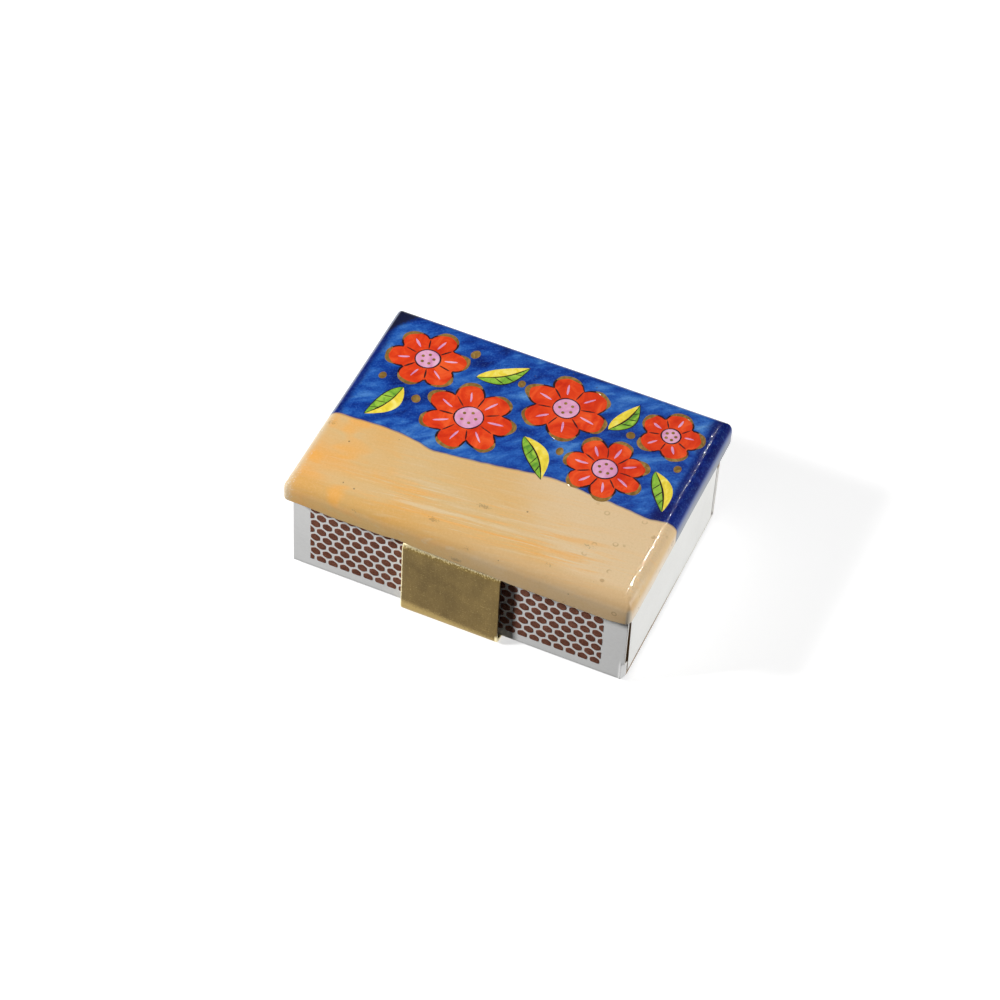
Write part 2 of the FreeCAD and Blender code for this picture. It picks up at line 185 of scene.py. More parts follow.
class Finish:
    """A node material that works in millimetres of the part's own frame."""

    def __init__(self, name, settings):
        self.material = bpy.data.materials.new(name)
        self.material.use_nodes = True
        self.tree = self.material.node_tree
        self.shader = self.tree.nodes["Principled BSDF"]
        for label, value in settings.items():
            self.shader.inputs[label].default_value = value
        metres = self.node("ShaderNodeTexCoord").outputs["Object"]
        self.place = self.scaled(metres, (1 / MM, 1 / MM, 1 / MM))
        split = self.node("ShaderNodeSeparateXYZ", Vector=self.place)
        self.x, self.y, self.z = split.outputs

    def put(self, socket, value):
        """A link where the value is a socket, else a plain setting."""
        if isinstance(value, bpy.types.NodeSocket):
            self.tree.links.new(value, socket)
        else:
            socket.default_value = value

    def node(self, kind, **inputs):
        made = self.tree.nodes.new(kind)
        for label, value in inputs.items():
            self.put(made.inputs[label], value)
        return made

    def scaled(self, vector, factors):
        made = self.node("ShaderNodeVectorMath")
        made.operation = "MULTIPLY"
        self.put(made.inputs[0], vector)
        self.put(made.inputs[1], factors)
        return made.outputs["Vector"]

    def stretch(self, x, y, z):
        """Place scaled by its own factor along each axis."""
        return self.scaled(self.place, (x, y, z))

    def maths(self, operation, first, second=0.0, third=0.0):
        made = self.node("ShaderNodeMath")
        made.operation = operation
        for socket, value in zip(made.inputs, (first, second, third)):
            self.put(socket, value)
        return made.outputs[0]

    def times(self, first, *others):
        """Product of all the values."""
        for other in others:
            first = self.maths("MULTIPLY", first, other)
        return first

    def line(self, value, slope, offset):
        """Value times slope, plus offset."""
        return self.maths("MULTIPLY_ADD", value, slope, offset)

    def join(self, x, y, z):
        """Place made of three values."""
        return self.node("ShaderNodeCombineXYZ", X=x, Y=y, Z=z).outputs[0]

    def noise(self, vector, scale, detail, rough=0.5, warp=0.0):
        made = self.node("ShaderNodeTexNoise", Vector=vector, Scale=scale, Detail=detail)
        self.put(made.inputs["Roughness"], rough)
        self.put(made.inputs["Distortion"], warp)
        return made.outputs[0]

    def cells(self, vector, scale):
        """Distance to the nearest of scattered points."""
        return self.node("ShaderNodeTexVoronoi", Vector=vector, Scale=scale).outputs["Distance"]

    def smooth(self, value, low, high):
        """0 below low and 1 above high, smooth between."""
        made = self.node("ShaderNodeMapRange", **{"Value": value, "From Min": low, "From Max": high})
        made.interpolation_type = "SMOOTHSTEP"
        return made.outputs["Result"]

    def ramp(self, factor, *stops):
        made = self.node("ShaderNodeValToRGB", Fac=factor)
        ends = made.color_ramp.elements
        for place, colour in stops[2:]:
            ends.new(place)
        for element, (place, colour) in zip(ends, sorted(stops)):
            element.position = place
            element.color = colour
        return made.outputs["Color"]

    def mix(self, factor, first, second):
        made = self.node("ShaderNodeMix")
        made.data_type = "RGBA"
        self.put(made.inputs[0], factor)
        self.put(made.inputs[6], first)
        self.put(made.inputs[7], second)
        return made.outputs[2]

    def cover(self, under, colour, mask, amount):
        """A colour laid over another where the mask is, as strongly as the amount says."""
        return self.mix(self.times(mask, amount), under, colour)

    def colour(self, value):
        self.put(self.shader.inputs["Base Color"], value)

    def bump(self, height, strength, distance, coat=False):
        made = self.node("ShaderNodeBump", Height=height, Strength=strength, Distance=distance * MM)
        self.put(self.shader.inputs["Normal"], made.outputs["Normal"])
        if coat:
            self.put(self.shader.inputs["Coat Normal"], made.outputs["Normal"])


class Solid:
    """Points and faces of one piece, gathered before its mesh is made."""

    def __init__(self):
        self.points = []
        self.faces = []
        self.slots = []

    def loft(self, rings, slot=0, closed=False, cap_slots=None):
        """Skin over rings of equal count, with both ends capped unless it closes on itself."""
        count = len(rings[0])
        spans = len(rings) if closed else len(rings) - 1
        start = len(self.points)
        self.points += [tuple(point) for ring in rings for point in ring]
        for row in range(spans):
            low = start + row * count
            high = start + (row + 1) % len(rings) * count
            for i in range(count):
                j = (i + 1) % count
                self.faces.append([low + i, low + j, high + j, high + i])
        self.slots += [slot] * (spans * count)
        if closed:
            return
        first_slot, last_slot = cap_slots or (slot, slot)
        last = start + (len(rings) - 1) * count
        self.faces.append([start + i for i in reversed(range(count))])
        self.faces.append([last + i for i in range(count)])
        self.slots += [first_slot, last_slot]

    def build(self, name, body, finishes, slot, nodes=(), crease=35):
        mesh = bpy.data.meshes.new(name)
        mesh.from_pydata([Vector(point) * MM for point in self.points], [], self.faces)
        for finish in finishes:
            mesh.materials.append(finish)
        mesh.polygons.foreach_set("material_index", self.slots)
        shape = bmesh.new()
        shape.from_mesh(mesh)
        bmesh.ops.recalc_face_normals(shape, faces=shape.faces)
        shape.to_mesh(mesh)
        shape.free()
        mesh.shade_smooth()
        mesh.set_sharp_from_angle(angle=math.radians(crease))
        piece = bpy.data.objects.new(name, mesh)
        bpy.context.collection.objects.link(piece)
        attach(piece, body)
        if nodes:
            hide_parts(*nodes)


def outline(half_x, half_y, corner, arc=6, along_x=24, along_y=16):
    """Rounded rectangle about the origin; equal arguments give equal counts for any size."""
    arcs = []
    for side_x, side_y, start in ((1, 1, 0), (-1, 1, 90), (-1, -1, 180), (1, -1, 270)):
        middle = Vector((side_x * (half_x - corner), side_y * (half_y - corner)))
        turns = [math.radians(start + 90 * i / arc) for i in range(arc + 1)]
        arcs.append([middle + corner * Vector((math.cos(a), math.sin(a))) for a in turns])
    points = []
    for index, bend in enumerate(arcs):
        points += bend
        goal = arcs[(index + 1) % 4][0]
        spans = along_x if index % 2 == 0 else along_y
        points += [bend[-1].lerp(goal, i / spans) for i in range(1, spans)]
    return points


def quarter(level, radius, start, steps):
    """Rounded edge about a level, as pairs of inset and height, from the angle start in degrees."""
    turns = [math.radians(start + 90 * i / steps) for i in range(steps + 1)]
    return [(radius - radius * math.cos(a), level + radius * math.sin(a)) for a in turns]


def slab(solid, low, high, slot=0):
    """Flat piece of card with softened edges."""
    middle = (low + high) / 2
    half = (high - low) / 2
    sides = ((0, low.z + CUT_SOFT), (0, high.z - CUT_SOFT))
    rings = []
    for inset, level in ((CUT_SOFT, low.z), *sides, (CUT_SOFT, high.z)):
        ring = outline(half.x - inset, half.y - inset, CUT_SOFT, 2, 1, 1)
        rings.append([(middle.x + p.x, middle.y + p.y, level) for p in ring])
    solid.loft(rings, slot)


# Materials

# Colours of the board's paint, and of the painted shade, highlights and reflections laid over it
SAND_WARM = srgb(222, 174, 106)
SAND_PLAIN = srgb(219, 180, 121)
SAND_PALE = srgb(216, 184, 132)
SAND_END = srgb(224, 196, 155)
ORANGE_CORNER = srgb(236, 168, 84)
ORANGE_DAB = srgb(240, 170, 76)
STREAK_WARM = srgb(232, 172, 92)
STREAK_PALE = srgb(222, 198, 158)
HAIR_WARM = srgb(236, 182, 108)
HAIR_PALE = srgb(224, 202, 164)
# Painted shade: warmer sand down the sides, darker brown on the upper front edge
SIDE_SHADE_WARM = srgb(226, 182, 104)
FRONT_SHADE_BROWN = srgb(208, 162, 92)
BROW_PALE = srgb(212, 184, 148)
# Painted reflection: pale sheen on the right end's lower side
SAND_SHEEN = srgb(240, 232, 220)
# Painted highlight on the right front corner
CORNER_GLINT = srgb(246, 236, 216)
# Painted reflection on the left round-over
LEFT_EDGE_SHEEN = srgb(216, 198, 166)
# Painted highlights: glint flecks on the left round-over
LEFT_GLINT_FLECK = srgb(242, 236, 222)
GRAIN_BROWN = srgb(160, 124, 80)
GRAIN_PALE = srgb(244, 222, 184)
BLUE_TONES = (
    (0.36, srgb(4, 26, 100)),
    (0.46, srgb(14, 60, 150)),
    (0.54, srgb(36, 92, 178)),
    (0.62, srgb(76, 132, 200)),
    (0.7, srgb(126, 172, 218)),
)
EDGE_TONES = ((0.4, srgb(3, 8, 84)), (0.62, srgb(10, 26, 116)))
GRAIN_NAVY = srgb(8, 22, 96)
GRAIN_SKY = srgb(84, 132, 206)
POOLED_BLACK = srgb(26, 28, 48)
# Painted reflection: grey line on the blue's left rim
RIM_SHEEN = srgb(124, 134, 158)
# Painted reflection: lighter blue down the right end's side
SIDE_SHEEN = srgb(128, 148, 202)
# Painted reflection: pale grey on the blue's lower right side
BLUE_SHEEN = srgb(166, 170, 172)
SEAM_SHADE = srgb(60, 56, 84)
SPECK_BROWN = srgb(70, 52, 40)
SMEAR_BROWN = srgb(112, 92, 62)
BUBBLE_BROWN = srgb(160, 124, 78)


def sand_paint(f):
    """Warm field with a paler right end, an orange left corner, and streaks and hairlines near the front."""
    cloud = f.noise(f.stretch(0.07, 0.1, 0.1), 1.0, 3.0, 0.5, 0.4)
    sand = f.ramp(cloud, (0.3, SAND_WARM), (0.5, SAND_PLAIN), (0.7, SAND_PALE))
    end_reach = f.maths("ADD", f.line(f.y, 0.55, f.x), f.times(cloud, 14.0))
    sand = f.cover(sand, SAND_END, f.smooth(end_reach, 4.0, 16.0), 0.85)
    corner = f.smooth(f.line(cloud, 16.0, f.x), -9.0, -17.0)
    sand = f.cover(sand, ORANGE_CORNER, f.times(corner, f.smooth(f.y, -7.0, -13.0)), 0.6)
    slant = f.line(f.x, -0.12, f.y)
    middle = f.times(f.smooth(f.x, -20.0, -8.0), f.smooth(f.x, 24.0, 16.0))
    front = f.line(f.smooth(f.y, -8.0, -14.0), 0.6, 0.12)
    front = f.times(front, f.line(middle, 0.75, 0.25))
    streak_place = f.join(f.times(f.x, 0.05), f.times(slant, 0.7), f.times(f.z, 0.2))
    streak = f.noise(streak_place, 1.0, 5.0, 0.6, 0.2)
    sand = f.cover(sand, STREAK_WARM, f.smooth(streak, 0.52, 0.66), front)
    sand = f.cover(sand, STREAK_PALE, f.smooth(streak, 0.48, 0.36), front)
    hair_place = f.join(f.times(f.x, 0.12), f.times(slant, 2.6), f.times(f.z, 0.6))
    hair = f.noise(hair_place, 1.0, 3.0, 0.6, 0.2)
    hair_reach = f.line(front, 0.8, 0.1)
    sand = f.cover(sand, HAIR_WARM, f.smooth(hair, 0.55, 0.68), hair_reach)
    return f.cover(sand, HAIR_PALE, f.smooth(hair, 0.45, 0.33), hair_reach)


def sand_edges(f, sand, fine_noise, painted_sheen):
    """The sand's sides and marks: painted shade down the sides and front edge, orange dabs, a painted
    reflection on the lower right side, painted highlights and reflections on the right corner and left edge,
    and grain.
    """
    # Painted shade: the sides are painted warmer, and the upper front edge darker brown
    sand = f.cover(sand, SIDE_SHADE_WARM, f.smooth(f.z, TOP - 0.2, TOP - 3.4), 0.7)
    front_edge = f.smooth(f.y, BOARD_LOW.y + 3.2, BOARD_LOW.y + 1.2)
    front_shade = f.times(front_edge, f.smooth(f.z, TOP - 1.9, TOP - 0.9))
    sand = f.cover(sand, FRONT_SHADE_BROWN, front_shade, 0.6)
    sand = f.cover(sand, BROW_PALE, f.times(front_edge, f.smooth(f.x, -14.0, 16.0)), 0.45)
    dab = f.noise(f.stretch(0.2, 0.32, 0.32), 1.0, 1.0, 0.4, 0.3)
    dab = f.times(f.smooth(dab, 0.5, 0.7), f.smooth(f.x, -8.0, -16.0))
    sand = f.cover(sand, ORANGE_DAB, dab, 0.6)
    # Painted reflection: the lower right side is painted paler
    sand = f.cover(sand, SAND_SHEEN, painted_sheen, 0.6)
    # Painted highlight: a pale line down the right front corner
    from_right = f.maths("SUBTRACT", BOARD_HIGH.x, f.x)
    from_front = f.maths("SUBTRACT", f.y, BOARD_LOW.y)
    corner_glint = f.smooth(f.maths("ADD", from_right, from_front), 0.9, 0.6)
    corner_glint = f.times(corner_glint, f.smooth(f.z, TOP - 0.4, TOP - 1.0))
    sand = f.cover(sand, CORNER_GLINT, corner_glint, 0.55)
    # Painted reflection: paler, greyer sand along the left round-over
    sand = f.cover(sand, LEFT_EDGE_SHEEN, f.smooth(f.x, BOARD_LOW.x + 1.9, BOARD_LOW.x + 0.5), 0.75)
    # Painted highlights: pale glint flecks on the left round-over, more of them near the front
    near_corner = f.smooth(f.y, BOARD_LOW.y + 6.0, BOARD_LOW.y + 3.6)
    glint_flecks = f.smooth(f.line(near_corner, 0.05, fine_noise), 0.6, 0.67)
    left_round = f.smooth(f.x, BOARD_LOW.x + 2.2, BOARD_LOW.x + 1.2)
    sand = f.cover(sand, LEFT_GLINT_FLECK, f.times(left_round, glint_flecks), 0.6)
    sand = f.cover(sand, GRAIN_BROWN, f.smooth(fine_noise, 0.5, 0.72), 0.1)
    return f.cover(sand, GRAIN_PALE, f.smooth(fine_noise, 0.5, 0.3), 0.1)


def blue_paint(f, rise, fine_noise, right_side, painted_sheen):
    """Short slanting strokes over darker and lighter clouds, drawn over darker at both ends, with painted
    reflections on the left rim and down the right side.
    """
    across = f.line(f.x, 0.8, f.times(f.y, 0.6))
    along = f.line(f.x, -0.6, f.times(f.y, 0.8))
    brush_place = f.join(f.times(across, 0.2), f.times(along, 0.42), f.times(f.z, 0.3))
    brush = f.noise(brush_place, 1.0, 5.0, 0.6, 0.35)
    patches = f.noise(f.stretch(0.13, 0.15, 0.15), 1.0, 2.0, 0.5, 0.3)
    tone = f.line(brush, 0.62, f.times(patches, 0.38))
    blue = f.ramp(tone, *BLUE_TONES)
    low_side = f.smooth(f.z, TOP - 0.25, TOP - 1.2)
    drawn_over = f.line(f.smooth(rise, 5.4, 3.6), 1.7, 1.0)
    drawn_over = f.times(drawn_over, f.smooth(f.x, 0.0, 10.0))
    drawn_over = f.line(tone, 4.6, drawn_over)
    far_end = f.maths("ADD", f.maths("ABSOLUTE", f.x), drawn_over)
    far_end = f.smooth(far_end, BOARD_HIGH.x + 0.1, BOARD_HIGH.x + 1.3)
    dark = f.maths("MAXIMUM", low_side, f.times(far_end, 0.92))
    blue = f.mix(dark, blue, f.ramp(brush, *EDGE_TONES))
    blue = f.cover(blue, GRAIN_NAVY, f.smooth(fine_noise, 0.5, 0.7), 0.3)
    blue = f.cover(blue, GRAIN_SKY, f.smooth(fine_noise, 0.5, 0.3), 0.22)
    from_left = f.maths("SUBTRACT", f.x, BOARD_LOW.x)
    from_back = f.maths("SUBTRACT", BOARD_HIGH.y, f.y)
    upper = f.smooth(f.z, TOP - 2.4, TOP - 1.3)
    pooled = f.line(fine_noise, 2.4, f.line(from_left, 1.5, from_back))
    pooled = f.times(f.smooth(pooled, 9.0, 7.6), upper)
    blue = f.cover(blue, POOLED_BLACK, pooled, 0.93)
    # Painted reflection: a grey line along the left rim
    rim_sheen = f.times(f.smooth(f.x, BOARD_LOW.x + 0.9, BOARD_LOW.x + 0.55), upper)
    blue = f.cover(blue, RIM_SHEEN, rim_sheen, 0.85)
    # Painted reflection: lighter blue painted down the right end's side
    side_sheen = f.times(right_side, f.smooth(f.z, TOP - 0.9, TOP - 1.7))
    blue = f.cover(blue, SIDE_SHEEN, side_sheen, 0.52)
    # Painted reflection: pale grey painted on the lower right side
    return f.cover(blue, BLUE_SHEEN, painted_sheen, 0.8)


def blemishes(f, base, fine_noise, is_blue):
    """Dark specks all over, and on the sand a few brown smears, with bubbles near the right end."""
    is_sand = f.maths("SUBTRACT", 1.0, is_blue)
    speck = f.smooth(f.cells(f.place, 0.42), 0.075, 0.05)
    chosen = f.smooth(f.noise(f.place, 0.33, 1.0), 0.52, 0.56)
    base = f.cover(base, SPECK_BROWN, f.times(speck, chosen), 0.6)
    uneven = f.maths("SUBTRACT", fine_noise, 0.5)
    smear = f.line(uneven, 0.5, f.cells(f.stretch(0.13, 0.3, 0.3), 1.0))
    smear = f.times(f.smooth(smear, 0.13, 0.06), is_sand)
    base = f.cover(base, SMEAR_BROWN, smear, 0.4)
    ring = f.maths("SUBTRACT", f.cells(f.place, 0.62), 0.22)
    ring = f.smooth(f.maths("ABSOLUTE", ring), 0.09, 0.03)
    near_end = f.times(f.smooth(f.x, 12.0, 20.0), is_sand)
    some = f.smooth(f.noise(f.place, 0.3, 1.0), 0.5, 0.6)
    return f.cover(base, BUBBLE_BROWN, f.times(ring, near_end, some), 0.5)


def clear_coat(f, is_blue):
    """Gloss with a gentle swell, drawn into small beads along the shoulder of the right end."""
    shoulder = f.smooth(f.x, BOARD_HIGH.x - 2.6, BOARD_HIGH.x - 2.0)
    shoulder = f.times(shoulder, f.smooth(f.z, TOP - 0.5, TOP - 0.2))
    bead_reach = f.line(is_blue, -0.11, 0.45)
    beads = f.smooth(f.maths("SUBTRACT", bead_reach, f.cells(f.place, 2.6)), 0.0, 0.06)
    beaded = f.times(shoulder, f.line(beads, 0.97, -0.37))
    thinner = f.smooth(f.x, BOARD_HIGH.x - 1.5, BOARD_HIGH.x - 0.7)
    thinner = f.times(thinner, f.line(is_blue, -0.18, -0.14))
    weight = f.maths("ADD", f.maths("ADD", thinner, 0.38), beaded)
    f.put(f.shader.inputs["Coat Weight"], weight)
    swell = f.noise(f.place, 0.25, 2.0)
    ripple = f.noise(f.place, 1.7, 2.0, 0.6)
    pitted = f.times(f.noise(f.place, 2.8, 0.0), shoulder)
    f.bump(f.line(pitted, 1.2, f.line(ripple, 0.3, swell)), 1.0, 0.035, coat=True)


def painted_board():
    """Brushed sand in front of a brushed blue, under one clear gloss coat."""
    f = Finish("painted_lacquer", {
        "Roughness": 0.36,
        "Specular IOR Level": 0.03,
        "Coat Roughness": 0.03,
    })
    drift = f.noise(f.stretch(0.11, 0.11, 0.11), 1.0, 3.0)
    wave = f.maths("SINE", f.times(f.x, 0.21))
    hill = f.line(wave, 0.7, f.times(drift, 2.4))
    rise = f.maths("SUBTRACT", f.line(f.x, -0.05, f.maths("ADD", f.y, 4.9)), hill)
    is_blue = f.smooth(rise, -0.12, 0.12)
    fine_noise = f.noise(f.place, 3.2, 3.0, 0.7)
    right_side = f.smooth(f.x, BOARD_HIGH.x - 0.9, BOARD_HIGH.x - 0.2)
    # Painted reflection: the right end's lower side, where paler colour is painted in
    painted_sheen = f.times(right_side, f.smooth(f.z, TOP - 1.0, TOP - 3.5))
    sand = sand_edges(f, sand_paint(f), fine_noise, painted_sheen)
    blue = blue_paint(f, rise, fine_noise, right_side, painted_sheen)
    base = f.mix(is_blue, sand, blue)
    seam = f.smooth(f.maths("ABSOLUTE", rise), 0.32, 0.1)
    base = f.cover(base, SEAM_SHADE, seam, 0.35)
    f.colour(blemishes(f, base, fine_noise, is_blue))
    clear_coat(f, is_blue)
    return f.material


def grained(name, roughness, stretch, detail, tones, bump):
    """Plain rough matter, whose grain gives both its tones and its relief."""
    f = Finish(name, {"Roughness": roughness})
    grain = f.noise(f.stretch(*stretch), 1.0, *detail)
    f.colour(f.ramp(grain, *tones))
    f.bump(grain, *bump)
    return f.material


def paint(name, dark, middle, light, scale=0.35):
    """One brushed colour of the decoration, under the same clear coat as the board."""
    f = Finish(name, {
        "Roughness": 0.5,
        "Specular IOR Level": 0.03,
        "Coat Weight": 0.35,
        "Coat Roughness": 0.08,
    })
    brush = f.noise(f.stretch(1.0, 0.7, 0.5), scale, 4.0, 0.6, 1.2)
    f.colour(f.ramp(brush, (0.32, dark), (0.5, middle), (0.68, light)))
    f.bump(brush, 0.1, 0.05, coat=True)
    return f.material


def aged_brass(name, dark, middle, light, roughness):
    """Dull mottled sheet brass, speckled and scratched, with painted highlights on its bends, its left edge,
    its lower right tip and its top crest.
    """
    f = Finish(name, {"Metallic": 1.0})
    mottle = f.noise(f.stretch(0.3, 0.3, 0.24), 1.0, 5.0, 0.6, 0.4)
    speckle = f.noise(f.place, 4.2, 3.0, 0.6)
    grain = f.noise(f.stretch(2.6, 2.6, 0.35), 1.0, 4.0, 0.6, 0.6)
    scratch = f.noise(f.stretch(0.5, 6.0, 5.0), 1.0, 2.0, 0.5, 0.4)
    skin = f.mix(f.smooth(mottle, 0.2, 0.8), dark, middle)
    skin = f.cover(skin, light, f.smooth(grain, 0.5, 0.7), 0.06)
    skin = f.cover(skin, dark, f.smooth(speckle, 0.56, 0.7), 0.6)
    skin = f.cover(skin, light, f.smooth(speckle, 0.42, 0.3), 0.4)
    skin = f.cover(skin, light, f.smooth(scratch, 0.68, 0.74), 0.5)
    # Painted highlights: the bends, left rim, lower right tip and top crest are painted light; the speckle
    # only makes their edges ragged
    worn = f.times(f.maths("SUBTRACT", speckle, 0.5), 2.4)
    wider_left = f.line(f.x, 0.09, -0.09 * BAND_HIGH.x)
    low_place = f.maths("ADD", f.line(worn, 0.6, f.z), wider_left)
    low_bend_glint = f.smooth(low_place, BAND_LOW.z + 2.0, BAND_LOW.z + 0.6)
    high_bend_glint = f.smooth(f.maths("ADD", f.z, worn), BAND_HIGH.z - 1.15, BAND_HIGH.z - 0.75)
    skin = f.cover(skin, light, f.maths("MAXIMUM", low_bend_glint, high_bend_glint), 0.8)
    rim_sheen = f.smooth(f.line(worn, 0.1, f.x), BAND_LOW.x + 0.26, BAND_LOW.x + 0.14)
    tip = f.times(f.smooth(f.x, BAND_HIGH.x - 0.4, BAND_HIGH.x - 0.2), f.smooth(f.z, 2.4, 1.6))
    crest_glint = f.smooth(f.line(worn, 0.4, f.z), BAND_HIGH.z - 0.95, BAND_HIGH.z - 0.6)
    painted_glints = f.maths("MAXIMUM", f.maths("MAXIMUM", rim_sheen, tip), crest_glint)
    f.colour(f.cover(skin, srgb(250, 236, 190), painted_glints, 0.9))
    f.put(f.shader.inputs["Roughness"], f.line(mottle, 0.12, roughness - 0.06))
    f.bump(f.line(speckle, 0.35, f.times(mottle, 0.5)), 0.5, 0.05)
    return f.material


def card(name, dark, light, roughness=0.7):
    """Paper board with a faint fibre mottle."""
    f = Finish(name, {"Roughness": roughness, "Specular IOR Level": 0.06})
    fibre = f.noise(f.stretch(0.9, 1.4, 1.4), 2.2, 4.0, 0.6)
    cloud = f.noise(f.place, 0.12, 3.0)
    tone = f.line(fibre, 0.5, f.times(cloud, 0.5))
    f.colour(f.ramp(tone, (0.35, dark), (0.65, light)))
    f.bump(fibre, 0.15, 0.03)
    return f.material


def cut_card():
    """Cut edges of the sleeve: browned along the lower front and at the upper back, else pale."""
    f = Finish("cut_card_edge", {"Roughness": 0.8, "Specular IOR Level": 0.2})
    fibre = f.noise(f.place, 1.6, 4.0, 0.65)
    low_front = f.times(f.smooth(f.z, 1.5, 1.1), f.smooth(f.y, 9.0, -8.0))
    high_back = f.times(f.smooth(f.z, 10.6, 11.8), f.smooth(f.y, 16.0, 17.0))
    brown = f.times(f.maths("MAXIMUM", low_front, high_back), f.smooth(fibre, 0.3, 0.5))
    pale = f.ramp(fibre, (0.35, srgb(212, 208, 200)), (0.65, srgb(236, 234, 228)))
    f.colour(f.cover(pale, srgb(194, 182, 166), brown, 0.9))
    f.bump(fibre, 0.3, 0.04)
    return f.material


def lining():
    """Inside of the sleeve: plain brown-grey card, painted near-white at the lower back and next to the back
    lap as painted light in those shaded gaps.
    """
    f = Finish("card_lining", {"Roughness": 0.8, "Specular IOR Level": 0.2})
    fibre = f.noise(f.stretch(0.9, 1.4, 1.4), 2.2, 4.0, 0.6)
    plain = f.ramp(fibre, (0.35, srgb(146, 122, 96)), (0.65, srgb(172, 148, 122)))
    # Painted light: near-white card where the back gap and the lower back lie in shade
    lit_back_gap = f.times(f.smooth(f.y, 15.4, 16.4), f.smooth(f.z, 12.2, 11.2))
    lit_low_back = f.times(f.smooth(f.z, 2.0, 1.4), f.smooth(f.y, -9.0, 8.0))
    f.colour(f.mix(f.maths("MAXIMUM", lit_back_gap, lit_low_back), plain, srgb(240, 239, 235)))
    f.bump(fibre, 0.2, 0.03)
    return f.material


def striking_coat():
    """Rough red-brown friction print."""
    f = Finish("striking_coat", {"Roughness": 0.85, "Specular IOR Level": 0.05})
    grit = f.noise(f.place, 6.0, 3.0, 0.7)
    worn = f.noise(f.place, 0.6, 2.0)
    tone = f.line(grit, 0.7, f.times(worn, 0.3))
    f.colour(f.ramp(
        tone,
        (0.34, srgb(94, 58, 47)),
        (0.5, srgb(126, 80, 64)),
        (0.66, srgb(156, 107, 88)),
    ))
    f.bump(grit, 0.5, 0.04)
    return f.material


# Tones of the board's bare underside and of the matches
BARE_TONES = ((0.3, srgb(176, 136, 92)), (0.55, srgb(206, 168, 120)), (0.75, srgb(226, 192, 146)))
STICK_TONES = ((0.3, srgb(204, 166, 112)), (0.5, srgb(228, 198, 148)), (0.7, srgb(240, 218, 178)))
HEAD_TONES = ((0.3, srgb(96, 34, 28)), (0.5, srgb(132, 48, 38)), (0.7, srgb(160, 70, 56)))

LACQUER = painted_board()
UNDERSIDE = grained(
    "board_underside", 0.6, (0.06, 1.6, 1.6), (5.0, 0.6, 0.8), BARE_TONES, (0.3, 0.05)
)
BAND_BRASS = aged_brass("aged_brass", srgb(98, 81, 47), srgb(124, 104, 62), srgb(182, 158, 100), 0.42)
PIN_BRASS = aged_brass("pin_brass", srgb(150, 118, 58), srgb(186, 152, 84), srgb(220, 192, 124), 0.35)
WHITE_CARD = card("white_card", srgb(240, 240, 239), srgb(248, 248, 247))
LINING = lining()
CUT_CARD = cut_card()
BROWN_CARD = card("brown_card_back", srgb(142, 116, 88), srgb(164, 138, 108))
TRAY_CARD = card("tray_card", srgb(242, 242, 239), srgb(250, 250, 247))
STRIKING = striking_coat()
WOOD = grained("match_wood", 0.7, (0.12, 3.0, 3.0), (4.0, 0.6, 0.4), STICK_TONES, (0.3, 0.04))
HEAD = grained("match_head", 0.75, (3.4, 3.4, 3.4), (4.0, 0.65), HEAD_TONES, (0.6, 0.08))
RED_PAINT = paint("red_paint", srgb(204, 44, 14), srgb(226, 64, 22), srgb(240, 92, 40))
PINK_PAINT = paint("pink_paint", srgb(206, 132, 176), srgb(222, 156, 192), srgb(232, 180, 206))
GREEN_PAINT = paint("green_paint", srgb(84, 142, 50), srgb(132, 182, 58), srgb(170, 206, 76), 0.6)
YELLOW_PAINT = paint("yellow_paint", srgb(220, 196, 60), srgb(240, 216, 70), srgb(246, 232, 126), 0.6)
GOLD_PAINT = paint("gold_paint", srgb(112, 84, 38), srgb(138, 106, 52), srgb(164, 132, 72), 0.9)
LINE_PAINT = paint("line_paint", srgb(28, 16, 22), srgb(44, 26, 28), srgb(70, 44, 36), 0.5)


# Cover board

def lip_rise(x, y):
    """How far the hand-shaped lower lip stands above or below its fair line."""
    front = ease(-17.5, -18.5, y)
    left = LIP_LEFT * ease(-20.0, -24.0, x) + LIP_MIDDLE * ease(2.0, -6.0, x) * ease(-26.0, -20.0, x)
    beside_band = LIP_AT_BAND * ease(-10.6, -9.2, x) * ease(-6.4, -8.0, x)
    right = LIP_RIGHT * ease(4.0, 9.0, x) + LIP_CORNER * ease(25.4, 27.2, x)
    uneven = LIP_UNEVEN * noise.noise(Vector((x * 0.45, y * 0.45, 7.0)))
    return front * (left + beside_band + right) + uneven


def board_ring(inset, level):
    """One level of the board's outline, worn in by up to HAND_WORN as by hand sanding."""
    half_x = (BOARD_HIGH.x - BOARD_LOW.x) / 2
    half_y = (BOARD_HIGH.y - BOARD_LOW.y) / 2
    fair = outline(half_x - inset, half_y - inset, max(CORNER_ROUND - inset, CORNER_LEAST))
    worn_inset = inset + HAND_WORN
    worn = outline(half_x - worn_inset, half_y - worn_inset, max(CORNER_ROUND - worn_inset, CORNER_LEAST))
    low_down = ease(TOP - EDGE_ROUND, BOARD_LOW.z + LIP_ROUND, level)
    near_lip = low_down * ease(LIP_ROUND + LIP_SHELF, LIP_ROUND, inset)
    ring = []
    for a, b in zip(fair, worn):
        wear = 0.5 + 0.5 * noise.noise(Vector((a.x * 0.16, a.y * 0.16, level * 0.12)))
        point = a.lerp(b, wear)
        ring.append((point.x, point.y, level + near_lip * lip_rise(point.x, point.y)))
    return ring


